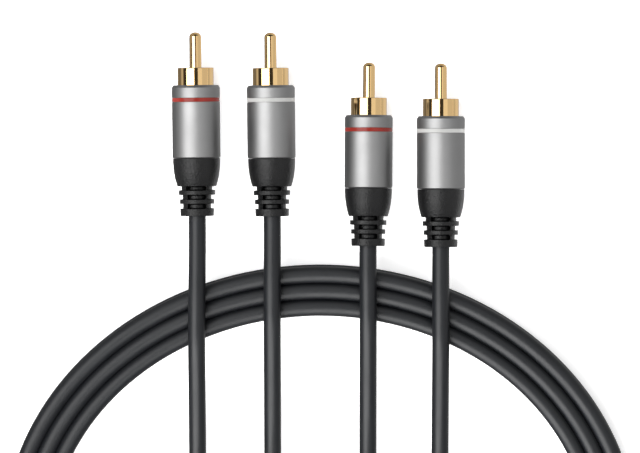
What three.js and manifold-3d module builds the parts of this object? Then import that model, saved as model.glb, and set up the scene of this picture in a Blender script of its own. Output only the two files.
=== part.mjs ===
// Stereo phono lead: two black cables side by side, a red and a white, with a gold-tipped plug
// on each end, wound together into a flat oval coil three cables wide and two high.
// Millimetres, +Z up. The lead lies on the surface Z = 0 and its plugs point along +Y.
// The origin is on the surface, at the middle of the four plugs.
import * as THREE from 'three';
import { mergeVertices } from 'three/addons/utils/BufferGeometryUtils.js';
import Module from 'manifold-3d';

// Clearances
const seatGap = 0.3; // between a piece and what it seats on
const slideGap = 0.2; // round a piece that sits in a bore
const layGap = 0.55; // under a cable that crosses the coil

// Centre pin
const pinRadius = 1.6;
const pinReach = 9.35; // in front of the collar
const pinDome = 1.25;
const pinTailRadius = 1.1;
const solderCupRadius = 0.75;
const solderCupDepth = 2.6;

// Outer contact: the collar round the pin, its base and the ferrule on the braid
const collarRadius = 4.77;
const collarWall = 0.6;
const collarReach = 4.6; // in front of the shell
const cavityDepth = 10.5;
const baseThickness = 2.2;
const ferruleRadius = 3.1;
const ferruleLength = 5.6;

// Insulator between the pin and the collar
const insulatorHead = 2.3;

// Shell and its colour ring
const shellRadius = 6.35;
const shellLength = 19.25;
const shellWall = 1.0;
const shellNose = 1.2; // thickness of the front wall
const shellEdge = 0.6;
const shellChamfer = 0.3;
const ringWidth = 1.25;
const ringDepth = 0.35;
const ringSetback = 3.3; // from the shell's front

// Boot: the moulded handle behind the shell
const bootRadius = 6.2;
const bootWaist = 5.05;
const bootLength = 7.45;
const bootEdge = 0.35;
const spigotLength = 2.0;
const windowFloor = 1.0; // half thickness of the wall that is left beside the cable in a window

// Strain relief: rings held apart by two posts, listed from the boot to the cable
const reliefSteps = [
  { gap: 1.15, core: 4.0, window: 5.7, ring: 4.75, length: 1.1 },
  { gap: 1.33, core: 3.7, window: 5.0, ring: 4.45, length: 1.05 },
  { gap: 1.37, core: 3.6, window: 4.8, ring: 4.4, length: 1.85 },
];

// Cable
const cableRadius = 2.2;
const coreRadius = 1.2;
const conductorRadius = 0.35;
const jacketDepth = 19.0; // how far the jacket runs into the plug

// Coil: the ring that holds three turns of both cables, one cable's turns over the other's
const coilCentre = new THREE.Vector2(0.4, -108.8);
const coilHalfWidth = 78.4; // to the middle of its turns
const coilHalfHeight = 68.6;
const turnPitch = 4.34;
const turnsWide = 3;
const turnsHigh = 2;

// Plugs: where the cable enters the boot, the turn about Z and the lift of the boot by its cable,
// which rests on the coil while the shell's front edge rests on the surface
const plugPlaces = [
  { name: 'left_red', x: -32.09, y: -19.9, yaw: 0.63, lift: 4.69, band: 'red' },
  { name: 'left_white', x: -12.28, y: -19.95, yaw: 0.64, lift: 5.16, band: 'white' },
  { name: 'right_red', x: 13.03, y: -27.8, yaw: -0.33, lift: 6.1, band: 'red' },
  { name: 'right_white', x: 32.26, y: -28.1, yaw: 0, lift: 5.53, band: 'white' },
];

// Uncoiled ends of the cables, from inside the plug to the coil
const cableEnds = {
  left_red_cable_end: [
    [-32.29, -1.96, 7.68], [-32.19, -10.93, 8.42], [-32.09, -19.9, 9.15], [-32.05, -26, 9.66],
    [-32.1, -33, 10.23], [-32.19, -40.5, 10.9], [-32.27, -47, 10.95], [-32.3, -54, 10.75],
    [-32.3, -63, 8.4], [-32.3, -72, 5.3], [-32.3, -81.5, 3.1], [-32.3, -91.5, 2.2],
    [-32.3, -103.5, 2.2], [-32.3, -115.5, 2.2], [-32.2, -127.5, 2.2], [-30.9, -138.5, 2.2],
    [-27, -149, 2.5], [-20.3, -157.9, 3.7], [-11.4, -164.9, 5.2], [-1, -168.4, 6.3],
  ],
  left_white_cable_end: [
    [-12.48, -2.02, 7.81], [-12.38, -10.99, 8.62], [-12.28, -19.95, 9.43], [-12.25, -25, 9.88],
    [-12.25, -30, 10.33], [-12.3, -35.5, 10.9], [-12.3, -42, 10.95], [-12.3, -48.5, 10.75],
    [-12.3, -57.5, 8.4], [-12.3, -66.5, 5.3], [-12.3, -75.5, 3.1], [-12.3, -86.5, 2.2],
    [-12.3, -99.5, 2.2], [-12.3, -112.5, 2.2], [-12.3, -125.5, 2.2], [-12.1, -137.5, 2.2],
    [-9.9, -148, 2.2], [-5.2, -156.8, 2.2], [2.2, -163.7, 2.2], [11.2, -167.5, 2.2],
  ],
  right_red_cable_end: [
    [13.13, -9.9, 8.07], [13.08, -18.85, 9.03], [13.03, -27.8, 9.99], [13.01, -32, 10.45],
    [13.01, -36, 10.9], [13.06, -42, 10.95], [13.08, -48.5, 10.75], [13.1, -57.5, 8.4],
    [13.1, -66.5, 5.4], [13.1, -76, 3], [13.1, -88.5, 2.2], [13.1, -102.5, 2.2],
    [13.1, -115.5, 2.2], [13.1, -127.5, 2.35], [13.1, -137.5, 3.8], [13, -147.5, 6.4],
    [11.8, -157, 9.3], [8, -165.8, 10.7], [1.5, -172.9, 10.9], [-6.5, -177.7, 10.9], [-15, -180.1, 10.9],
  ],
  right_white_cable_end: [
    [32.26, -10.18, 7.92], [32.26, -19.14, 8.78], [32.26, -28.1, 9.65], [32.24, -34.5, 10.3],
    [32.24, -40.8, 10.9], [32.26, -47.5, 10.95], [32.28, -54, 10.7], [32.3, -63.5, 8.2],
    [32.3, -73.5, 5.1], [32.3, -84.5, 2.9], [32.3, -97.5, 2.2], [32.3, -110.5, 2.2],
    [32.3, -123, 2.2], [32.3, -133.5, 3], [32.3, -143.5, 5.3], [32.2, -153.5, 8.5],
    [31.1, -163.3, 10.75], [27.8, -171.6, 10.9], [22, -177.7, 10.9], [14.5, -180.8, 10.8],
  ],
};

// Facets round each kind of piece
const shellFacets = 24;
const bootFacets = 18;
const contactFacets = 18;
const innerFacets = 14;
const cableSides = 8;
const cableStep = 11;
const coilFacets = 72;

// Distances along a plug, from the rear of its boot towards the pin's tip
const reliefLength = reliefSteps.reduce((sum, step) => sum + step.gap + step.length, 0);
const shellRear = reliefLength + bootLength;
const shellFront = shellRear + shellLength;
const shellBore = shellRadius - shellWall;
const collarFront = shellFront + collarReach;
const baseFront = collarFront - cavityDepth;
const baseRear = baseFront - baseThickness;
const ferruleRear = baseRear - ferruleLength;
const collarBore = collarRadius - collarWall;
const ferruleBore = cableRadius + seatGap;
const insulatorFront = baseFront + seatGap + insulatorHead;
const stemRadius = ferruleBore - slideGap;
const pinTip = collarFront + pinReach;
const shoulder = baseFront + seatGap + insulatorHead / 2;
const pinRear = baseRear - solderCupDepth;
const conductorFront = pinRear + solderCupDepth - seatGap;

const wasm = await Module();
wasm.setup();

const materials = {
  gold: metal(0xc79a4b, 0.25),
  shell: metal(0xa9a9a8, 0.35),
  red: plastic(0xb53c39, 0.45),
  white: plastic(0xe2e2e0, 0.45),
  insulator: plastic(0xe9e6dc, 0.5),
  boot: plastic(0x2b2b2c, 0.55),
  filler: plastic(0x3b3b3c, 0.7),
  jacket: plastic(0x2a2b2d, 0.5),
  core: plastic(0xf0efe9, 0.5),
  copper: metal(0xb56a3c, 0.35),
};

function metal(color, roughness) {
  return new THREE.MeshStandardMaterial({ color, roughness, metalness: 1 });
}

function plastic(color, roughness) {
  return new THREE.MeshStandardMaterial({ color, roughness, metalness: 0 });
}

// A round piece about the plug's axis, from [radius, distance along] pairs on a closed outline
function turned(outline, facets) {
  const points = [...outline, outline[0]].map(([radius, along]) => new THREE.Vector2(radius, along));
  return new THREE.LatheGeometry(points, facets);
}

// A round piece with no bore: the outline starts and ends on the axis
function turnedSolid(outline, facets) {
  return new THREE.LatheGeometry(outline.map(([radius, along]) => new THREE.Vector2(radius, along)), facets);
}

function toManifold(geometry) {
  const bare = geometry.clone();
  bare.deleteAttribute('normal');
  bare.deleteAttribute('uv');
  const merged = mergeVertices(bare, 1e-4);
  const triangles = Array.from(merged.index.array);
  const kept = [];
  for (let i = 0; i < triangles.length; i += 3) {
    const [a, b, c] = triangles.slice(i, i + 3);
    if (a !== b && b !== c && c !== a) kept.push(a, b, c);
  }
  return new wasm.Manifold(new wasm.Mesh({
    numProp: 3,
    vertProperties: new Float32Array(merged.attributes.position.array),
    triVerts: new Uint32Array(kept),
  }));
}

function fromManifold(solid) {
  const mesh = solid.getMesh();
  const geometry = new THREE.BufferGeometry();
  geometry.setAttribute('position', new THREE.BufferAttribute(new Float32Array(mesh.vertProperties), 3));
  geometry.setIndex(new THREE.BufferAttribute(new Uint32Array(mesh.triVerts), 1));
  geometry.computeVertexNormals();
  return geometry;
}

function centrePin() {
  const dome = [0.35, 0.7, 0.95].map((share) => {
    const angle = share * Math.PI / 2;
    return [pinRadius * Math.sin(angle), pinTip - pinDome * (1 - Math.cos(angle))];
  });
  return turnedSolid([
    [0, pinRear + solderCupDepth], [solderCupRadius, pinRear + solderCupDepth], [solderCupRadius, pinRear],
    [pinTailRadius, pinRear], [pinTailRadius, shoulder], [pinRadius, shoulder],
    ...dome.reverse(), [0, pinTip],
  ], contactFacets);
}

function insulator() {
  const headRadius = collarBore - slideGap;
  return turned([
    [pinTailRadius + slideGap, baseRear + seatGap], [stemRadius, baseRear + seatGap],
    [stemRadius, baseFront + seatGap], [headRadius, baseFront + seatGap],
    [headRadius, insulatorFront], [pinRadius + slideGap, insulatorFront],
    [pinRadius + slideGap, shoulder - seatGap], [pinTailRadius + slideGap, shoulder - seatGap],
  ], innerFacets);
}

function outerContact() {
  const flange = shellBore - slideGap;
  return turned([
    [ferruleBore, ferruleRear], [ferruleRadius, ferruleRear], [ferruleRadius, baseRear],
    [flange, baseRear], [flange, baseFront], [collarRadius, baseFront],
    [collarRadius, collarFront], [collarBore, collarFront], [collarBore, baseFront],
    [ferruleBore, baseFront],
  ], contactFacets);
}

function shell() {
  const groove = shellRadius - ringDepth;
  const ringFront = shellFront - ringSetback;
  const ringRear = ringFront - ringWidth;
  const noseHole = collarRadius + slideGap;
  const edge = [0, 0.5, 1].map((share) => {
    const angle = share * Math.PI / 2;
    return [
      shellRadius - shellEdge * (1 - Math.cos(angle)),
      shellFront - shellEdge * (1 - Math.sin(angle)),
    ];
  });
  return turned([
    [shellBore, shellRear], [shellRadius - shellChamfer, shellRear], [shellRadius, shellRear + shellChamfer],
    [shellRadius, ringRear], [groove, ringRear], [groove, ringFront], [shellRadius, ringFront],
    ...edge, [noseHole, shellFront], [noseHole, shellFront - shellNose],
    [shellBore, shellFront - shellNose],
  ], shellFacets);
}

function colourRing() {
  const ringFront = shellFront - ringSetback - slideGap / 4;
  const ringRear = shellFront - ringSetback - ringWidth + slideGap / 4;
  const inner = shellRadius - ringDepth + slideGap / 2;
  return turned([[inner, ringRear], [shellRadius, ringRear], [shellRadius, ringFront], [inner, ringFront]],
    shellFacets);
}

// Plastic cast round the joints inside the shell, from the boot's spigot to the contact's base
function filler() {
  const outside = shellBore - slideGap;
  const rear = shellRear + spigotLength + seatGap;
  const front = baseRear - seatGap;
  const ferruleRoom = ferruleRadius + seatGap;
  const step = ferruleRear - seatGap;
  return turned([
    [ferruleBore, rear], [outside, rear], [outside, front], [ferruleRoom, front],
    [ferruleRoom, step], [ferruleBore, step],
  ], innerFacets);
}

// Outline of the rings and the necks between them, from the cable's end to the boot
function reliefOutline() {
  const outline = [];
  let along = 0;
  for (const { gap, core, ring, length } of [...reliefSteps].reverse()) {
    outline.push([ring, along], [ring, along + length]);
    outline.push([core, along + length], [core, along + length + gap]);
    along += length + gap;
  }
  return outline;
}

// Boxes that open the front and back of each neck and leave a post on each side
function reliefWindows() {
  let along = reliefLength;
  return reliefSteps.flatMap(({ gap, core, window, length }) => {
    const middle = along - gap / 2;
    along -= gap + length;
    return [-1, 1].map((side) => {
      const box = new THREE.BoxGeometry(window, gap, core);
      return toManifold(box.translate(0, middle, side * (windowFloor + core / 2)));
    });
  });
}

function boot() {
  const bulge = [0.3, 0.6, 0.85].map((share) => [
    bootWaist + (bootRadius - bootWaist) * Math.sin(share * Math.PI / 2),
    reliefLength + bootEdge + (bootLength - bootEdge) * share,
  ]);
  const spigot = shellBore - slideGap;
  const body = toManifold(turned([
    [ferruleBore, 0], ...reliefOutline(),
    [bootWaist - bootEdge, reliefLength], [bootWaist, reliefLength + bootEdge], ...bulge,
    [bootRadius, shellRear - seatGap], [spigot, shellRear - seatGap],
    [spigot, shellRear + spigotLength], [ferruleBore, shellRear + spigotLength],
  ], bootFacets));
  const cut = reliefWindows().reduce((solid, window) => solid.subtract(window), body);
  return fromManifold(cut);
}

function coreInsulation() {
  return turned([
    [conductorRadius + slideGap / 2, jacketDepth + seatGap], [coreRadius, jacketDepth + seatGap],
    [coreRadius, pinRear - seatGap], [conductorRadius + slideGap / 2, pinRear - seatGap],
  ], innerFacets);
}

function conductor() {
  return turnedSolid([
    [0, jacketDepth + seatGap], [conductorRadius, jacketDepth + seatGap],
    [conductorRadius, conductorFront], [0, conductorFront],
  ], innerFacets);
}

function plug({ name, x, y, yaw, lift, band }) {
  const turn = THREE.MathUtils.degToRad(yaw);
  const tilt = THREE.MathUtils.degToRad(lift);
  const group = new THREE.Group();
  group.rotation.set(-tilt, 0, turn, 'ZXY');
  group.position.set(x, y, shellRadius * Math.cos(tilt) + shellFront * Math.sin(tilt));
  const pieces = {
    centre_pin: [centrePin(), materials.gold],
    insulator: [insulator(), materials.insulator],
    outer_contact: [outerContact(), materials.gold],
    shell: [shell(), materials.shell],
    colour_ring: [colourRing(), materials[band]],
    filler: [filler(), materials.filler],
    boot: [boot(), materials.boot],
    core_insulation: [coreInsulation(), materials.core],
    conductor: [conductor(), materials.copper],
  };
  for (const [piece, [geometry, material]] of Object.entries(pieces)) {
    const mesh = new THREE.Mesh(geometry, material);
    mesh.name = `${name}_${piece}`;
    group.add(mesh);
  }
  return group;
}

function circle(radius, sides) {
  const turns = Array.from({ length: sides }, (_, i) => (i + 0.5) * 2 * Math.PI / sides);
  return new THREE.Shape(turns.map((angle) => new THREE.Vector2(radius * Math.cos(angle), radius * Math.sin(angle))));
}

function cableEnd(name, points) {
  const curve = new THREE.CatmullRomCurve3(points.map((point) => new THREE.Vector3(...point)));
  const steps = Math.round(curve.getLength() / cableStep);
  const geometry = new THREE.ExtrudeGeometry(circle(cableRadius, cableSides), { steps, extrudePath: curve });
  const mesh = new THREE.Mesh(geometry, materials.jacket);
  mesh.name = name;
  return mesh;
}

// An ellipse moved out along its normal, as the edge of a band of even width
function ovalEdge(offset) {
  return Array.from({ length: coilFacets }, (_, i) => {
    const angle = i * 2 * Math.PI / coilFacets;
    const normal = new THREE.Vector2(coilHalfHeight * Math.cos(angle), coilHalfWidth * Math.sin(angle));
    return new THREE.Vector2(coilHalfWidth * Math.cos(angle), coilHalfHeight * Math.sin(angle))
      .addScaledVector(normal.normalize(), offset);
  });
}

function coil() {
  const halfBand = (turnsWide - 1) / 2 * turnPitch + cableRadius;
  const band = new THREE.Shape(ovalEdge(halfBand));
  band.holes.push(new THREE.Path(ovalEdge(-halfBand)));
  const depth = turnsHigh * 2 * cableRadius - layGap;
  const mesh = new THREE.Mesh(new THREE.ExtrudeGeometry(band, { depth, bevelEnabled: false }), materials.jacket);
  mesh.position.set(coilCentre.x, coilCentre.y, 0);
  mesh.name = 'cable_coil';
  return mesh;
}

const lead = new THREE.Group();
for (const place of plugPlaces) lead.add(plug(place));
for (const [name, points] of Object.entries(cableEnds)) lead.add(cableEnd(name, points));
lead.add(coil());

export default lead;
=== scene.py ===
"""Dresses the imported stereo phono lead: four plugs, two cables in an oval coil, and the studio round them."""

from __future__ import annotations

import logging
import math
from dataclasses import dataclass, field
from enum import Enum

import bmesh
import bpy
from mathutils import Matrix, Vector


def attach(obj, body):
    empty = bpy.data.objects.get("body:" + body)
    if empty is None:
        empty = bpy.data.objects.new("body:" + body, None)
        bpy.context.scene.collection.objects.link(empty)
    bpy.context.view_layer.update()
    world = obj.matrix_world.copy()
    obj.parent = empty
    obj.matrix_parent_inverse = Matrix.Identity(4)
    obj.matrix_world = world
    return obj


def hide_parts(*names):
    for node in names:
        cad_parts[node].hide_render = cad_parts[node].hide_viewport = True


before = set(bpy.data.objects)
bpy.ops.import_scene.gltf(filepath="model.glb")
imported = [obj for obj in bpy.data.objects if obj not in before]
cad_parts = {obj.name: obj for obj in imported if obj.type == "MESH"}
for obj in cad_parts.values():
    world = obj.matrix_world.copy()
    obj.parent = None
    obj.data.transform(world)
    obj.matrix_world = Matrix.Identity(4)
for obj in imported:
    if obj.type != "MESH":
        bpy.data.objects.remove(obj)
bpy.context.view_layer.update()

MM = 0.001
WELD = 1e-7  # points of a turned mesh that are this close are one point, in metres
CUT_WELD = 2e-6  # the same after the windows are cut
FLOOR_GAP = 0.00005  # least distance between a cable and the floor, in metres
# Sockets of a mix node: its factor, its pairs of numbers and of colours, and the result for each
MIX_FACTOR, MIX_NUMBERS, MIX_COLOURS = 0, (2, 3), (6, 7)
MIXED_NUMBER, MIXED_COLOUR = 0, 2
BODY = "root"
log = logging.getLogger("phono_lead")


class Band(Enum):
    """The colour that marks a plug's channel."""

    RED = "red_band"
    WHITE = "white_band"


def linear(hex_colour: str) -> tuple[float, float, float, float]:
    """Turns an sRGB hex colour to linear.

    Args:
        hex_colour: Six hex digits, with or without a leading hash.

    Returns:
        Linear red, green and blue, and full alpha.
    """
    digits = hex_colour.lstrip("#")
    channels = [int(digits[i : i + 2], 16) / 255 for i in (0, 2, 4)]
    red, green, blue = (c / 12.92 if c <= 0.04045 else ((c + 0.055) / 1.055) ** 2.4 for c in channels)
    return red, green, blue, 1.0


def add_node(tree: bpy.types.NodeTree, kind: str, settings: dict | None = None, **links) -> bpy.types.Node:
    """Adds a node with its settings and links.

    Args:
        tree: The node tree.
        kind: Blender's name for the node's type.
        settings: Attributes or input values, by name.
        **links: An input's name, with underscores for spaces, and the output socket that feeds it.

    Returns:
        The new node.
    """
    node = tree.nodes.new(kind)
    for name, value in (settings or {}).items():
        if hasattr(node, name) and name not in node.inputs:
            setattr(node, name, value)
        else:
            node.inputs[name].default_value = value
    for name, socket in links.items():
        tree.links.new(socket, node.inputs[name.replace("_", " ")])
    return node


@dataclass(frozen=True)
class Finish:
    """A surface: what it is made of, its colour and its fine relief."""

    name: str
    colour: str
    roughness: float
    metallic: float = 0.0
    ior: float = 1.5
    shade: str | None = None
    patch_mm: float = 4.0
    grain_mm: float = 0.2
    grain_depth_mm: float = 0.0
    roughness_swing: float = 0.05
    glow: float = 0.0

    def material(self) -> bpy.types.Material:
        """Builds the finish as a node material.

        Returns:
            The material, made once and then shared.
        """
        ready = bpy.data.materials.get(self.name)
        if ready is not None:
            return ready
        made = bpy.data.materials.new(self.name)
        made.use_nodes = True
        tree = made.node_tree
        tree.nodes.clear()
        place = add_node(tree, "ShaderNodeTexCoord").outputs["Object"]
        shader = add_node(tree, "ShaderNodeBsdfPrincipled", {
            "Base Color": linear(self.colour), "Metallic": self.metallic, "Roughness": self.roughness,
            "Emission Color": linear(self.colour), "Emission Strength": self.glow,
        })
        if not self.metallic:
            shader.inputs["IOR"].default_value = self.ior
        self._vary(tree, place, shader)
        if self.grain_depth_mm:
            self._grain(tree, place, shader)
        add_node(tree, "ShaderNodeOutputMaterial", Surface=shader.outputs["BSDF"])
        return made

    def _vary(self, tree: bpy.types.NodeTree, place: bpy.types.NodeSocket, shader: bpy.types.Node) -> None:
        """Drifts colour and roughness in soft patches, as handling and moulding leave them."""
        patches = add_node(tree, "ShaderNodeTexNoise", {
            "Scale": 1 / (self.patch_mm * MM), "Detail": 3.0, "Roughness": 0.55}, Vector=place)
        spread = add_node(tree, "ShaderNodeMapRange", {
            "From Min": 0.35, "From Max": 0.65, "To Min": self.roughness - self.roughness_swing,
            "To Max": self.roughness + self.roughness_swing}, Value=patches.outputs["Fac"])
        tree.links.new(spread.outputs["Result"], shader.inputs["Roughness"])
        if self.shade:
            mix = add_node(tree, "ShaderNodeMix", {"data_type": "RGBA"})
            for socket, tone in zip(MIX_COLOURS, (self.colour, self.shade)):
                mix.inputs[socket].default_value = linear(tone)
            tree.links.new(patches.outputs["Fac"], mix.inputs[MIX_FACTOR])
            tree.links.new(mix.outputs[MIXED_COLOUR], shader.inputs["Base Color"])

    def _grain(self, tree: bpy.types.NodeTree, place: bpy.types.NodeSocket, shader: bpy.types.Node) -> None:
        """Adds the fine relief of the surface."""
        grain = add_node(tree, "ShaderNodeTexNoise", {
            "Scale": 1 / (self.grain_mm * MM), "Detail": 2.0, "Roughness": 0.5}, Vector=place)
        bump = add_node(tree, "ShaderNodeBump", {
            "Strength": 1.0, "Distance": self.grain_depth_mm * MM}, Height=grain.outputs["Fac"])
        tree.links.new(bump.outputs["Normal"], shader.inputs["Normal"])


# Gold plate over polished brass: warm mirror with a faint orange-peel haze
GOLD = Finish("polished_gold_plate", "F1CD95", 0.08, metallic=1.0, shade="EDC68B", roughness_swing=0.015)
# Blasted and plated sleeve: soft satin sheen that spreads the lights into broad bands
SATIN = Finish("satin_plated_shell", "919191", 0.5, metallic=1.0, shade="8C8C8C", patch_mm=6.0,
               grain_mm=0.12, grain_depth_mm=0.002, roughness_swing=0.02)
# Lacquer filled in the groove: even and slightly glossy
RED_LACQUER = Finish("red_lacquer", "9E372F", 0.17, ior=1.33, shade="98332B", patch_mm=2.5,
                     roughness_swing=0.02)
WHITE_LACQUER = Finish("white_lacquer", "D2D2D0", 0.17, ior=1.36, shade="CDCDCB", patch_mm=2.5,
                       roughness_swing=0.02)
# Moulded soft PVC: satin black with its mould's spark texture, drawn coarser than real so that it shows
MOULDING = Finish("moulded_pvc", "131314", 0.36, ior=1.42, shade="171718", patch_mm=3.0, grain_mm=0.36,
                  grain_depth_mm=0.15, roughness_swing=0.06)
# Extruded soft PVC jacket: smooth, slightly waxy dark grey
JACKET = Finish("extruded_pvc_jacket", "0D0F12", 0.44, ior=1.4, shade="111316", patch_mm=5.0, grain_mm=0.6,
                grain_depth_mm=0.004, roughness_swing=0.03)
# Moulded polypropylene: milky and smooth
BUSH = Finish("moulded_polypropylene", "E6E3D8", 0.45, shade="DAD6C8", grain_mm=0.4, grain_depth_mm=0.004)
# Cast epoxy: dark and dull
FILLER = Finish("cast_filler", "2E2E2F", 0.7, shade="363637", grain_mm=0.4, grain_depth_mm=0.01)
# Extruded polyethylene: white and waxy
CORE = Finish("extruded_polyethylene", "EFEFEA", 0.45, shade="E4E4DE", grain_mm=0.4, grain_depth_mm=0.004)
# Drawn copper strand: bright, with a faint haze
COPPER = Finish("drawn_copper", "C77B4B", 0.3, metallic=1.0, shade="B66C3E", grain_depth_mm=0.004)
# Opal acrylic table, lit from below: white, and it fills the shadows
OPAL = Finish("lit_opal_acrylic", "F7F7F7", 0.8, shade="F5F5F5", patch_mm=300.0, roughness_swing=0.02,
              glow=0.6)

Corner = tuple[float, float, float]
HOLD_MM = 0.03  # distance of the points that keep a flat straight beside its rounding
REACH_SHARE = 0.49  # greatest part of a flat that the rounding at one of its ends takes


def rounded(corners: list[Corner], closed: bool, steps: int = 4) -> list[Vector]:
    """Rounds the corners of a turned outline.

    Args:
        corners: Radius, distance along the axis and rounding radius of each corner, in millimetres.
        closed: Whether the last corner joins the first. Otherwise both ends stay sharp.
        steps: Points along each rounding, less one.

    Returns:
        The outline's points in the XY plane, in metres, with the plug's axis along Y.
    """
    count = len(corners)
    outline = []
    for i, (radius, along, fillet) in enumerate(corners):
        here = Vector((radius, along, 0.0))
        ends = not closed and i in (0, count - 1)
        if fillet <= 0 or ends:
            outline.append(here)
            continue
        back = Vector((*corners[i - 1][:2], 0.0)) - here
        on = Vector((*corners[(i + 1) % count][:2], 0.0)) - here
        half = back.angle(on) / 2
        back_room, on_room = back.length * REACH_SHARE, on.length * REACH_SHARE
        reach = min(fillet / math.tan(half), back_room, on_room)
        start, end = here + back.normalized() * reach, here + on.normalized() * reach
        if back_room > reach + HOLD_MM:
            outline.append(start + back.normalized() * HOLD_MM)
        for step in range(steps + 1):
            share = step / steps
            outline.append(start.lerp(here, share).lerp(here.lerp(end, share), share))
        if on_room > reach + HOLD_MM:
            outline.append(end + on.normalized() * HOLD_MM)
    return [point * MM for point in outline]


def spun(outline: list[Vector], closed: bool, segments: int = 96) -> bmesh.types.BMesh:
    """Turns an outline about the Y axis.

    Args:
        outline: Points in the XY plane.
        closed: Whether the outline closes on itself. Otherwise it starts and ends on the axis.
        segments: Facets round the axis.

    Returns:
        A closed mesh with its faces outwards.
    """
    mesh = bmesh.new()
    verts = [mesh.verts.new(point) for point in outline]
    pairs = list(zip(verts, verts[1:])) + ([(verts[-1], verts[0])] if closed else [])
    edges = [mesh.edges.new(pair) for pair in pairs]
    bmesh.ops.spin(mesh, geom=verts + edges, axis=(0, 1, 0), cent=(0, 0, 0), angle=math.tau,
                   steps=segments, use_merge=True)
    bmesh.ops.remove_doubles(mesh, verts=mesh.verts, dist=WELD)
    bmesh.ops.recalc_face_normals(mesh, faces=mesh.faces)
    return mesh


def to_mesh(source: bmesh.types.BMesh, name: str, sharp_deg: float = 38.0) -> bpy.types.Mesh:
    """Writes a bmesh to a mesh that shades smooth, apart from its sharp edges."""
    for face in source.faces:
        face.smooth = True
    for edge in source.edges:
        edge.smooth = len(edge.link_faces) != 2 or edge.calc_face_angle(0.0) < math.radians(sharp_deg)
    mesh = bpy.data.meshes.new(name)
    source.to_mesh(mesh)
    source.free()
    return mesh


def add_piece(
    name: str, mesh: bpy.types.Mesh, finish: Finish, nodes: list[str]
) -> bpy.types.Object:
    """Adds a piece that stands for CAD nodes.

    Args:
        name: The piece's name.
        mesh: Its mesh, already in place.
        finish: Its surface.
        nodes: The CAD nodes that it replaces.

    Returns:
        The object, riding on the lead's body.
    """
    piece = bpy.data.objects.new(name, mesh)
    bpy.context.scene.collection.objects.link(piece)
    mesh.materials.clear()
    mesh.materials.append(finish.material())
    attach(piece, BODY)
    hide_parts(*nodes)
    log.info("%s: %d faces", name, len(mesh.polygons))
    return piece


@dataclass(frozen=True)
class ReliefStep:
    """One neck and the ring behind it, in the boot's strain relief.

    The gap and the length run along the plug, the core and the ring are radii, and the window is a width.
    """

    gap: float
    core: float
    window: float
    ring: float
    length: float


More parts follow.
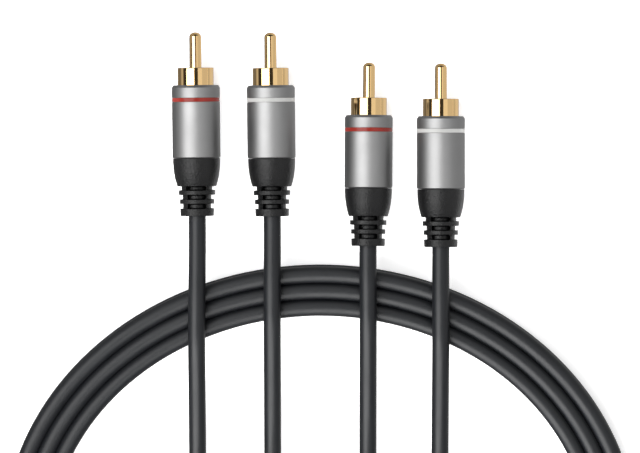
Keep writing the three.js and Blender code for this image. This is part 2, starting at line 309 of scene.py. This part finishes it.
@dataclass
class PlugShape:
    """The meshes that all four plugs share, about the Y axis, from the rear of the boot. Millimetres."""

    pin_radius: float = 1.6
    pin_reach: float = 9.35
    pin_dome: float = 1.25
    pin_tail_radius: float = 1.1
    solder_cup_radius: float = 0.75
    solder_cup_depth: float = 2.6
    collar_radius: float = 4.77
    collar_wall: float = 0.6
    collar_reach: float = 4.6
    cavity_depth: float = 10.5
    base_thickness: float = 2.2
    ferrule_radius: float = 3.1
    ferrule_length: float = 5.6
    insulator_head: float = 2.3
    shell_radius: float = 6.35
    shell_length: float = 19.25
    shell_wall: float = 1.0
    shell_nose: float = 1.2
    nose_chamfer: tuple[float, float] = (0.66, 0.42)
    rear_chamfer: float = 0.28
    ring_width: float = 1.12
    ring_depth: float = 0.35
    ring_setback: float = 3.3
    band_gap: float = 0.04
    band_seat: float = 0.05
    band_recess: float = 0.02
    boot_radius: float = 6.24
    boot_waist: float = 5.15
    boot_length: float = 7.45
    boot_swell: float = 2.3
    tail_taper: float = 0.08
    spigot_length: float = 2.0
    seam: float = 0.06
    seat_gap: float = 0.3
    slide_gap: float = 0.2
    cable_radius: float = 2.2
    jacket_bore: float = 2.34
    window_floor: float = 1.0
    window_flare: float = 0.14
    window_corner: float = 0.2
    skin_rise: float = 0.3
    skin_slopes: tuple[float, float] = (0.3, 0.36)
    skin_overlap: float = 0.1
    skin_depth: float = 0.03
    relief: tuple[ReliefStep, ...] = (
        ReliefStep(1.02, 4.06, 5.6, 4.82, 1.25),
        ReliefStep(1.15, 3.78, 4.95, 4.54, 1.23),
        ReliefStep(1.2, 3.69, 4.85, 4.48, 2.0),
    )
    meshes: dict[str, bpy.types.Mesh] = field(default_factory=dict)

    def __post_init__(self) -> None:
        """Works out the distances along the plug."""
        self.relief_length = sum(step.gap + step.length for step in self.relief)
        self.shell_rear = self.relief_length + self.boot_length
        self.shell_front = self.shell_rear + self.shell_length
        self.shell_bore = self.shell_radius - self.shell_wall
        self.collar_front = self.shell_front + self.collar_reach
        self.collar_bore = self.collar_radius - self.collar_wall
        self.base_front = self.collar_front - self.cavity_depth
        self.base_rear = self.base_front - self.base_thickness
        self.ferrule_bore = self.cable_radius + self.seat_gap
        self.shoulder = self.base_front + self.seat_gap + self.insulator_head / 2
        self.pin_rear = self.base_rear - self.solder_cup_depth

    def build(self) -> None:
        """Makes every mesh once."""
        makers = {
            "pin": self.pin, "collar": self.collar, "bush": self.bush, "sleeve": self.sleeve,
            "band": self.band, "moulding": self.moulding,
        }
        self.meshes = {name: make() for name, make in makers.items()}

    def pin(self) -> bpy.types.Mesh:
        """Makes the centre pin, with its domed tip and the solder cup at its rear."""
        tip = self.collar_front + self.pin_reach
        cup = self.pin_rear + self.solder_cup_depth
        corners = [
            (0, cup, 0), (self.solder_cup_radius, cup, 0.1), (self.solder_cup_radius, self.pin_rear, 0.1),
            (self.pin_tail_radius, self.pin_rear, 0.1), (self.pin_tail_radius, self.shoulder, 0.1),
            (self.pin_radius, self.shoulder, 0.1),
        ]
        outline = rounded([*corners, (self.pin_radius, tip - self.pin_dome, 0)], closed=False)
        steps = 10
        for step in range(1, steps + 1):
            angle = step / steps * math.pi / 2
            outline.append(Vector((
                self.pin_radius * math.cos(angle), tip - self.pin_dome * (1 - math.sin(angle)), 0)) * MM)
        return to_mesh(spun(outline, closed=False), "pin")

    def collar(self) -> bpy.types.Mesh:
        """Makes the outer contact: collar, base and ferrule."""
        flange = self.shell_bore - self.slide_gap
        ferrule_rear = self.base_rear - self.ferrule_length
        corners = [
            (self.ferrule_bore, ferrule_rear, 0.1), (self.ferrule_radius, ferrule_rear, 0.1),
            (self.ferrule_radius, self.base_rear, 0.1), (flange, self.base_rear, 0.1),
            (flange, self.base_front, 0.1), (self.collar_radius, self.base_front, 0.1),
            (self.collar_radius, self.collar_front, 0.22), (self.collar_bore, self.collar_front, 0.18),
            (self.collar_bore, self.base_front, 0.1), (self.ferrule_bore, self.base_front, 0.1),
        ]
        return to_mesh(spun(rounded(corners, closed=True), closed=True), "collar")

    def bush(self) -> bpy.types.Mesh:
        """Makes the insulator that carries the pin."""
        head = self.collar_bore - self.slide_gap
        stem = self.ferrule_bore - self.slide_gap
        seat = self.base_front + self.seat_gap
        front = seat + self.insulator_head
        bore, tail_bore = self.pin_radius + self.slide_gap, self.pin_tail_radius + self.slide_gap
        rear = self.base_rear + self.seat_gap
        step = self.shoulder - self.seat_gap
        corners = [
            (tail_bore, rear, 0.1), (stem, rear, 0.1), (stem, seat, 0.1), (head, seat, 0.1),
            (head, front, 0.2), (bore, front, 0.1), (bore, step, 0.05), (tail_bore, step, 0.05),
        ]
        return to_mesh(spun(rounded(corners, closed=True), closed=True), "bush")

    def sleeve(self) -> bpy.types.Mesh:
        """Makes the shell, with its chamfered nose, the band's groove and the fine chamfer at its rear."""
        groove = self.shell_radius - self.ring_depth
        ring_front = self.shell_front - self.ring_setback
        ring_rear = ring_front - self.ring_width
        nose_hole = self.collar_radius + self.slide_gap
        nose_rear = self.shell_front - self.shell_nose
        outside, front, rear = self.shell_radius, self.shell_front, self.shell_rear
        slope, drop = self.nose_chamfer
        corners = [
            (self.shell_bore, rear, 0.1), (outside - self.rear_chamfer, rear, 0.04),
            (outside, rear + self.rear_chamfer, 0.06), (outside, ring_rear, 0.05),
            (groove, ring_rear, 0.03), (groove, ring_front, 0.03), (outside, ring_front, 0.05),
            (outside, front - slope, 0.3), (outside - drop, front, 0.12),
            (nose_hole, front, 0.15), (nose_hole, nose_rear, 0.1), (self.shell_bore, nose_rear, 0.1),
        ]
        return to_mesh(spun(rounded(corners, closed=True, steps=6), closed=True, segments=128), "sleeve")

    def band(self) -> bpy.types.Mesh:
        """Makes the colour band, a hair below the shell's surface."""
        front = self.shell_front - self.ring_setback - self.band_gap
        rear = self.shell_front - self.ring_setback - self.ring_width + self.band_gap
        inside = self.shell_radius - self.ring_depth + self.band_seat
        outside = self.shell_radius - self.band_recess
        corners = [(inside, rear, 0.03), (outside, rear, 0.06), (outside, front, 0.06), (inside, front, 0.03)]
        return to_mesh(spun(rounded(corners, closed=True), closed=True, segments=128), "band")

    def relief_corners(self) -> list[Corner]:
        """Gives the outline of the rings and the necks between them, from the cable's end to the boot."""
        corners: list[Corner] = []
        along = 0.0
        for step in reversed(self.relief):
            top = along + step.length
            taper = 0.0 if corners else self.tail_taper
            corners += [(step.ring - taper, along, 0.2), (step.ring, top, 0.13)]
            corners += [(step.core, top, 0.08), (step.core, top + step.gap, 0.08)]
            along = top + step.gap
        return corners

    def moulding(self) -> bpy.types.Mesh:
        """Makes the boot: a body that swells from its waist to the shell, and the slotted strain relief."""
        waist = self.relief_length
        swell = []
        for share in (0.12, 0.28, 0.46, 0.66, 0.86):
            grown = 1 - (1 - share) ** self.boot_swell
            swell.append((self.boot_waist + (self.boot_radius - self.boot_waist) * grown,
                          waist + self.boot_length * share, 0.6))
        spigot = self.shell_bore - self.slide_gap
        shoulder = self.shell_rear - self.seam
        corners = [
            (self.jacket_bore, 0, 0.12), *self.relief_corners(), (self.boot_waist, waist, 0.15), *swell,
            (self.boot_radius, shoulder, 0.07), (spigot, shoulder, 0.05),
            (spigot, self.shell_rear + self.spigot_length, 0.1),
            (self.jacket_bore, self.shell_rear + self.spigot_length, 0.1),
        ]
        body = to_mesh(spun(rounded(corners, closed=True), closed=True), "moulding_blank")
        return self._with_windows(body)

    def necks(self) -> list[tuple[float, ReliefStep]]:
        """Gives the distance of each neck's front end, with its step, from the boot to the cable's end."""
        along = self.relief_length
        places = []
        for step in self.relief:
            places.append((along, step))
            along -= step.gap + step.length
        return places

    def _window(self, along: float, step: ReliefStep) -> bmesh.types.BMesh:
        """Makes the cutter for one neck's front and back windows, with rounded corners."""
        cutter = bmesh.new()
        deep = 2 * step.core
        for side in (-1, 1):
            size = Vector((step.window, step.gap + 2 * self.window_flare, deep)) * MM
            middle = Vector((0, along - step.gap / 2, side * (self.window_floor + deep / 2))) * MM
            place = Matrix.Translation(middle) @ Matrix.Diagonal((*size, 1.0))
            bmesh.ops.create_cube(cutter, size=1.0, matrix=place)
        upright = [e for e in cutter.edges if abs((e.verts[0].co - e.verts[1].co).z) > step.core * MM]
        bmesh.ops.bevel(cutter, geom=upright, offset=self.window_corner * MM, segments=3, profile=0.5,
                        affect="EDGES", material=-1)
        return cutter

    def _with_windows(self, body: bpy.types.Mesh) -> bpy.types.Mesh:
        """Cuts the windows between the rings, which leaves a post on each side.

        Args:
            body: The boot without windows.

        Returns:
            The boot with them.
        """
        blank = bpy.data.objects.new("moulding_blank", body)
        bpy.context.scene.collection.objects.link(blank)
        cutters = []
        for along, step in self.necks():
            cutter = bpy.data.objects.new("window", to_mesh(self._window(along, step), "window"))
            bpy.context.scene.collection.objects.link(cutter)
            cut = blank.modifiers.new("window", "BOOLEAN")
            cut.operation, cut.object, cut.solver = "DIFFERENCE", cutter, "EXACT"
            cutters.append(cutter)
        graph = bpy.context.evaluated_depsgraph_get()
        cut_mesh = bpy.data.meshes.new_from_object(blank.evaluated_get(graph), depsgraph=graph)
        for scrap in (blank, *cutters):
            bpy.data.objects.remove(scrap)
        clean = bmesh.new()
        clean.from_mesh(cut_mesh)
        bmesh.ops.remove_doubles(clean, verts=clean.verts, dist=CUT_WELD)
        bmesh.ops.triangulate(clean, faces=[f for f in clean.faces if len(f.verts) > 4])
        for along, step in self.necks():
            lining = to_mesh(self._lining(along, step), "lining")
            clean.from_mesh(lining)
            bpy.data.meshes.remove(lining)
        return to_mesh(clean, "moulding")

    def _lining(self, along: float, step: ReliefStep) -> bmesh.types.BMesh:
        """Makes the thin skin over the cable in one window, sloped off at both of the window's edges."""
        seat = self.jacket_bore
        inside, crest = seat - self.skin_depth, seat + self.skin_rise
        rear, front = along - step.gap - self.window_flare, along + self.window_flare
        rear_slope, front_slope = self.skin_slopes
        corners = [
            (seat, rear - self.skin_overlap, 0), (seat, rear, 0), (crest, rear + rear_slope, 0.1),
            (crest, front - front_slope, 0.1), (seat, front, 0), (seat, front + self.skin_overlap, 0),
            (inside, front + self.skin_overlap, 0), (inside, rear - self.skin_overlap, 0),
        ]
        return spun(rounded(corners, closed=True), closed=True, segments=64)


@dataclass
class Plug:
    """One plug in its place: which pair and channel it is, and how it lies."""

    name: str
    rear_mm: tuple[float, float]
    yaw_deg: float
    lift_deg: float
    band: Band
    shape: PlugShape

    def place(self) -> Matrix:
        """Gives the turn and shift from the plug's own axis to where it lies, shell edge on the surface."""
        lift = math.radians(self.lift_deg)
        height = self.shape.shell_radius * math.cos(lift) + self.shape.shell_front * math.sin(lift)
        spot = Matrix.Translation(Vector((*self.rear_mm, height)) * MM)
        return spot @ Matrix.Rotation(math.radians(self.yaw_deg), 4, "Z") @ Matrix.Rotation(-lift, 4, "X")

    def rear(self) -> Vector:
        """Gives the point where the cable leaves the boot."""
        return self.place().translation

    def build(self) -> None:
        """Places and dresses the plug's pieces, and dresses the CAD nodes that stay."""
        lacquer = RED_LACQUER if self.band is Band.RED else WHITE_LACQUER
        dressed = {
            "pin": (GOLD, "gold_plated_brass", "centre_pin"),
            "collar": (GOLD, "gold_plated_brass", "outer_contact"),
            "bush": (BUSH, "insulator_plastic", "insulator"),
            "sleeve": (SATIN, "satin_shell", "shell"),
            "band": (lacquer, self.band.value, "colour_ring"),
            "moulding": (MOULDING, "boot_moulding", "boot"),
        }
        place = self.place()
        for piece, (finish, slot, node) in dressed.items():
            mesh = self.shape.meshes[piece].copy()
            mesh.transform(place)
            made = add_piece(f"{self.name}_{piece}", mesh, finish, [f"{self.name}_{node}"])
            # Metal doesn't mirror the next plug's metal, because the photograph lights each plug by itself
            made.visible_glossy = finish not in (GOLD, SATIN)
        for node, finish in (("filler", FILLER), ("core_insulation", CORE), ("conductor", COPPER)):
            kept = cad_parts[f"{self.name}_{node}"]
            kept.data.materials.clear()
            kept.data.materials.append(finish.material())


@dataclass(frozen=True)
class Winding:
    """One cable's share of the coil: its layer's height, first and last angle, and the climb at its end.

    Metres, and degrees that go on past 360 from lap to lap.
    """

    layer: float
    first: float
    last: float
    climb: tuple[float, float]


@dataclass(frozen=True)
class Coil:
    """The oval that the cables wind round: three columns, packed tight. Metres and degrees."""

    centre: tuple[float, float] = (0.0004, -0.1088)
    half_width: float = 0.0784
    half_height: float = 0.0686
    pitch: float = 0.00434
    jog_start: float = 277.0
    jog_end: float = 312.0
    laps: int = 4
    first_column: int = -2
    step_deg: float = 11.0
    crossing: float = 0.0109

    def at(self, turn_deg: float, column: float, height: float) -> Vector:
        """Gives the point at an angle of the oval, so many columns out from the middle one."""
        turn = math.radians(turn_deg)
        across, up = math.cos(turn), math.sin(turn)
        outward = Vector((self.half_height * across, self.half_width * up, 0.0)).normalized()
        middle = Vector((self.centre[0] + self.half_width * across,
                         self.centre[1] + self.half_height * up, height))
        return middle + outward * column * self.pitch

    def turns(self, winding: Winding) -> list[Vector]:
        """Winds a cable outwards, one column at each jog, and lifts it over the coil at the end.

        Args:
            winding: The cable's layer and angles.

        Returns:
            Points about one step of the angle apart.
        """
        sweep = winding.last - winding.first
        count = round(sweep / self.step_deg)
        starts = [360 * lap for lap in range(self.laps)]
        points = []
        for i in range(count + 1):
            turn = winding.first + sweep * i / count
            jogs = sum(ease(turn, self.jog_start + start, self.jog_end + start) for start in starts)
            height = winding.layer + (self.crossing - winding.layer) * ease(turn, *winding.climb)
            points.append(self.at(turn, self.first_column + jogs, height))
        return points


def ease(value: float, start: float, end: float) -> float:
    """Rises smoothly from 0 at start to 1 at end."""
    share = min(1.0, max(0.0, (value - start) / (end - start)))
    return share * share * (3 - 2 * share)


def smooth_line(points: list[Vector], pieces: int = 5) -> list[Vector]:
    """Draws a centripetal Catmull-Rom curve through the points.

    Args:
        points: The points that the curve passes through.
        pieces: Steps between two of them.

    Returns:
        Points close together along the curve.
    """
    ends = [points[0] * 2 - points[1], *points, points[-1] * 2 - points[-2]]
    line = []
    for before, start, end, after in zip(ends, ends[1:], ends[2:], ends[3:]):
        back, here, on = ((b - a).length ** 0.5 for a, b in ((before, start), (start, end), (end, after)))
        leave = ((start - before) / back - (end - before) / (back + here) + (end - start) / here) * here
        reach = ((end - start) / here - (after - start) / (here + on) + (after - end) / on) * here
        for step in range(pieces):
            s = step / pieces
            line.append(start + leave * s + (-3 * start + 3 * end - 2 * leave - reach) * s**2
                        + (2 * start - 2 * end + leave + reach) * s**3)
    return [*line, points[-1]]


@dataclass
class Cable:
    """One cable from plug to plug, through its turns of the coil. Metres."""

    name: str
    start: list[tuple[float, float, float]]
    end: list[tuple[float, float, float]]
    turns: list[Vector]
    nodes: list[str]
    leaves: Plug
    diameter: float = 0.00455

    def build(self) -> None:
        points = [Vector(p) for p in self.start] + self.turns + [Vector(p) for p in reversed(self.end)]
        line = smooth_line(points)
        for place in line:
            place.z = max(place.z, self.diameter / 2 + FLOOR_GAP)
        curve = bpy.data.curves.new(self.name, "CURVE")
        curve.dimensions = "3D"
        curve.bevel_depth = self.diameter / 2
        curve.bevel_resolution = 8
        curve.use_fill_caps = True
        spline = curve.splines.new("POLY")
        spline.points.add(len(line) - 1)
        for point, place in zip(spline.points, line):
            point.co = (*place, 1.0)
        spline.use_smooth = True
        curve.materials.append(JACKET.material())
        cable = bpy.data.objects.new(self.name, curve)
        bpy.context.scene.collection.objects.link(cable)
        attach(cable, BODY)
        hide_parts(*self.nodes)
        tuple(self.leaves.rear())


# Uncoiled ends of the cables, from inside the plug to the coil
LEFT_RED_END = [
    (-0.03229, -0.00196, 0.00768), (-0.03219, -0.01093, 0.00842), (-0.03209, -0.0199, 0.00915),
    (-0.03205, -0.026, 0.00966), (-0.0321, -0.033, 0.01023), (-0.03219, -0.0405, 0.0109),
    (-0.03227, -0.047, 0.01095), (-0.0323, -0.054, 0.01075), (-0.0323, -0.063, 0.0084),
    (-0.0323, -0.072, 0.0053), (-0.0323, -0.0815, 0.0031), (-0.0323, -0.0915, 0.0022),
    (-0.0323, -0.1035, 0.0022), (-0.0323, -0.1155, 0.0022), (-0.0322, -0.1275, 0.0022),
    (-0.0309, -0.1385, 0.0022), (-0.027, -0.149, 0.0025), (-0.0203, -0.1579, 0.0037),
    (-0.0114, -0.1649, 0.0052), (-0.001, -0.1684, 0.0063),
]
LEFT_WHITE_END = [
    (-0.01248, -0.00202, 0.00781), (-0.01238, -0.01099, 0.00862), (-0.01228, -0.01995, 0.00943),
    (-0.01225, -0.025, 0.00988), (-0.01225, -0.03, 0.01033), (-0.0123, -0.0355, 0.0109),
    (-0.0123, -0.042, 0.01095), (-0.0123, -0.0485, 0.01075), (-0.0123, -0.0575, 0.0084),
    (-0.0123, -0.0665, 0.0053), (-0.0123, -0.0755, 0.0031), (-0.0123, -0.0865, 0.0022),
    (-0.0123, -0.0995, 0.0022), (-0.0123, -0.1125, 0.0022), (-0.0123, -0.1255, 0.0022),
    (-0.0121, -0.1375, 0.0022), (-0.0099, -0.148, 0.0022), (-0.0052, -0.1568, 0.0022),
    (0.0022, -0.1637, 0.0022), (0.0112, -0.1675, 0.0022),
]
RIGHT_RED_END = [
    (0.01313, -0.0099, 0.00807), (0.01308, -0.01885, 0.00903), (0.01303, -0.0278, 0.00999),
    (0.01301, -0.032, 0.01045), (0.01301, -0.036, 0.0109), (0.01306, -0.042, 0.01095),
    (0.01308, -0.0485, 0.01075), (0.0131, -0.0575, 0.0084), (0.0131, -0.0665, 0.0054),
    (0.0131, -0.076, 0.003), (0.0131, -0.0885, 0.0022), (0.0131, -0.1025, 0.0022),
    (0.0131, -0.1155, 0.0022), (0.0131, -0.1275, 0.00235), (0.0131, -0.1375, 0.0038),
    (0.013, -0.1475, 0.0064), (0.0118, -0.157, 0.0093), (0.008, -0.1658, 0.0107),
    (0.0015, -0.1729, 0.0109), (-0.0065, -0.1777, 0.0109), (-0.015, -0.1801, 0.0109),
]
RIGHT_WHITE_END = [
    (0.03226, -0.01018, 0.00792), (0.03226, -0.01914, 0.00878), (0.03226, -0.0281, 0.00965),
    (0.03224, -0.0345, 0.0103), (0.03224, -0.0408, 0.0109), (0.03226, -0.0475, 0.01095),
    (0.03228, -0.054, 0.0107), (0.0323, -0.0635, 0.0082), (0.0323, -0.0735, 0.0051),
    (0.0323, -0.0845, 0.0029), (0.0323, -0.0975, 0.0022), (0.0323, -0.1105, 0.0022),
    (0.0323, -0.123, 0.0022), (0.0323, -0.1335, 0.003), (0.0323, -0.1435, 0.0053),
    (0.0322, -0.1535, 0.0085), (0.0311, -0.1633, 0.01075), (0.0278, -0.1716, 0.0109),
    (0.022, -0.1777, 0.0109), (0.0145, -0.1808, 0.0108),
]


@dataclass
class Lead:
    """The whole lead: four plugs and the two cables that join them."""

    shape: PlugShape = field(default_factory=PlugShape)
    coil: Coil = field(default_factory=Coil)
    upper: Winding = Winding(0.00664, 277.0, 1333.0, (1312.0, 1336.0))
    lower: Winding = Winding(0.00233, 285.0, 1353.0, (1333.0, 1362.0))

    def plugs(self) -> dict[str, Plug]:
        """Gives the four plugs by name."""
        rows = [
            ("left_red", (-32.09, -19.9), 0.63, 4.69, Band.RED),
            ("left_white", (-12.28, -19.95), 0.64, 5.16, Band.WHITE),
            ("right_red", (13.03, -27.8), -0.33, 6.1, Band.RED),
            ("right_white", (32.26, -28.1), 0.0, 5.53, Band.WHITE),
        ]
        return {row[0]: Plug(*row, shape=self.shape) for row in rows}

    def cables(self, plugs: dict[str, Plug]) -> list[Cable]:
        """Gives the red cable, which winds in the upper layer, and the white one under it."""
        return [
            Cable("red_cable", LEFT_RED_END, RIGHT_RED_END, self.coil.turns(self.upper),
                  ["left_red_cable_end", "right_red_cable_end", "cable_coil"], plugs["left_red"]),
            Cable("white_cable", LEFT_WHITE_END, RIGHT_WHITE_END, self.coil.turns(self.lower),
                  ["left_white_cable_end", "right_white_cable_end"], plugs["left_white"]),
        ]

    def build(self) -> None:
        """Makes the cables first, then the plugs."""
        plugs = self.plugs()
        for cable in self.cables(plugs):
            cable.build()
        self.shape.build()
        for plug in plugs.values():
            plug.build()


@dataclass(frozen=True)
class Softbox:
    """A rectangular studio light that faces the lead.

    The two angles lean it from straight overhead, towards +X and towards +Y. It can light some pieces
    alone, and then also through the floor and past every other piece.
    """

    name: str
    across_deg: float
    along_deg: float
    distance: float
    size: tuple[float, float]
    radiance: float
    lit_only: tuple[str, ...] = ()
    through_floor: bool = False
    aim: tuple[float, float, float] = (0.0, -0.04, 0.0)

    def add(self) -> None:
        """Adds the light, turned to its aim."""
        light = bpy.data.lights.new(self.name, "AREA")
        light.shape = "RECTANGLE"
        light.size, light.size_y = self.size
        light.energy = self.radiance * math.pi * self.size[0] * self.size[1]
        lamp = bpy.data.objects.new(self.name, light)
        across, along = math.radians(self.across_deg), math.radians(self.along_deg)
        lean = Matrix.Rotation(along, 4, "X").inverted() @ Matrix.Rotation(across, 4, "Y")
        away = Matrix.Translation((0.0, 0.0, self.distance))
        lamp.matrix_world = Matrix.Translation(self.aim) @ lean @ away
        bpy.context.scene.collection.objects.link(lamp)
        if self.lit_only:
            lit = bpy.data.collections.new(f"{self.name}_lit")
            for piece in self.lit_only:
                lit.objects.link(bpy.data.objects[piece])
            lamp.light_linking.receiver_collection = lit
            if self.through_floor:
                lamp.light_linking.blocker_collection = lit


@dataclass
class Studio:
    """Camera, floor, lights and surroundings."""

    frame_px: tuple[int, int] = (640, 453)
    mm_per_px: float = 0.2645  # at the height of the plugs
    origin_px: tuple[float, float] = (318.72, 139.95)  # where the frame's origin lies in the photograph
    sharp_height: float = 0.0075
    tilt_deg: float = 6.2
    lens: float = 300.0
    sensor: float = 36.0
    clip: tuple[float, float] = (0.01, 40.0)
    floor_reach: float = 12.0
    room_above: float = 0.045
    room_edge: float = 0.6
    room_left: float = 0.13
    room_right: float = 0.85
    edge_fade: tuple[float, float] = (-0.4, -0.12)
    above_fade: tuple[float, float] = (0.02, 0.16)

    def camera(self) -> None:
        """Looks down square on the lifted plugs, framed as the photograph."""
        data = bpy.data.cameras.new("camera")
        data.lens, data.sensor_width = self.lens, self.sensor
        data.clip_start, data.clip_end = self.clip
        camera = bpy.data.objects.new("camera", data)
        middle_x = (self.frame_px[0] / 2 - self.origin_px[0]) * self.mm_per_px * MM
        middle_y = (self.origin_px[1] - self.frame_px[1] / 2) * self.mm_per_px * MM
        distance = self.frame_px[0] * self.mm_per_px * MM / self.sensor * self.lens
        tilt = math.radians(self.tilt_deg)
        focus = Vector((middle_x, middle_y, self.sharp_height))
        camera.location = focus + Vector((0.0, math.sin(tilt), math.cos(tilt))) * distance
        camera.rotation_euler = (-tilt, 0.0, 0.0)
        bpy.context.scene.collection.objects.link(camera)
        bpy.context.scene.camera = camera

    def floor(self) -> None:
        """Lays the pale floor, which the lead's gloss doesn't mirror, as in the photograph."""
        sheet = bmesh.new()
        bmesh.ops.create_grid(sheet, x_segments=1, y_segments=1, size=self.floor_reach)
        mesh = bpy.data.meshes.new("floor")
        sheet.to_mesh(mesh)
        sheet.free()
        mesh.materials.append(OPAL.material())
        floor = bpy.data.objects.new("floor", mesh)
        floor.visible_glossy = False
        bpy.context.scene.collection.objects.link(floor)

    def surroundings(self) -> None:
        """Leaves the room dim above, so that the softboxes stand out, and pale from the table's edge down."""
        world = bpy.data.worlds.new("studio")
        world.use_nodes = True
        tree = world.node_tree
        tree.nodes.clear()
        way = add_node(tree, "ShaderNodeTexCoord").outputs["Generated"]
        parts = add_node(tree, "ShaderNodeSeparateXYZ", Vector=way)
        below = add_node(tree, "ShaderNodeMapRange", {
            "From Min": -1.0, "From Max": 1.0, "To Min": self.room_left, "To Max": self.room_right},
            Value=parts.outputs["X"])
        level = below.outputs["Result"]
        for (start, end), target in ((self.edge_fade, self.room_edge), (self.above_fade, self.room_above)):
            height = add_node(tree, "ShaderNodeMapRange", {
                "From Min": start, "From Max": end, "To Min": 0.0, "To Max": 1.0}, Value=parts.outputs["Z"])
            mix = add_node(tree, "ShaderNodeMix", {"data_type": "FLOAT"})
            tree.links.new(height.outputs["Result"], mix.inputs[MIX_FACTOR])
            tree.links.new(level, mix.inputs[MIX_NUMBERS[0]])
            mix.inputs[MIX_NUMBERS[1]].default_value = target
            level = mix.outputs[MIXED_NUMBER]
        back = add_node(tree, "ShaderNodeBackground", {"Color": (1.0, 1.0, 1.0, 1.0)}, Strength=level)
        add_node(tree, "ShaderNodeOutputWorld", Surface=back.outputs["Background"])
        bpy.context.scene.world = world

    def lights(self) -> None:
        """Hangs the softboxes. Some light one kind of piece alone, as the photograph's parts were lit."""
        cables = ("red_cable", "white_cable")
        plugs = ("left_red", "left_white", "right_red", "right_white")
        sleeves = tuple(f"{plug}_sleeve" for plug in plugs)
        mouldings = tuple(f"{plug}_moulding" for plug in plugs)
        for box in (
            Softbox("key_left", -34.0, 0.0, 4.0, (3.8, 4.2), 4.0),
            Softbox("key_spill", -31.0, 0.0, 3.8, (5.8, 4.2), 1.0, sleeves),
            Softbox("fill_spill", 16.0, 0.0, 3.8, (3.6, 4.2), 0.42, sleeves),
            Softbox("fill_right", 51.0, 0.0, 3.8, (5.4, 6.0), 0.66),
            Softbox("sheen_right", 29.0, 0.0, 3.6, (1.8, 6.0), 0.24),
            Softbox("front", -19.0, -46.0, 4.2, (5.2, 4.0), 6.0, (*cables, "floor")),
            Softbox("rim_right", 128.0, 0.0, 3.0, (1.7, 4.0), 0.7, mouldings, through_floor=True),
            Softbox("back", -8.0, 50.0, 4.2, (5.2, 4.0), 1.1, cables),
        ):
            box.add()

    def build(self) -> None:
        """Sets the whole studio."""
        bpy.context.scene.view_settings.view_transform = "Standard"
        self.floor()
        self.surroundings()
        self.lights()


def main() -> None:
    """Builds the camera, the lead and the studio."""
    logging.basicConfig(level=logging.INFO, format="%(name)s: %(message)s")
    studio = Studio()
    studio.camera()
    Lead().build()
    studio.build()


if __name__ == "__main__":
    main()
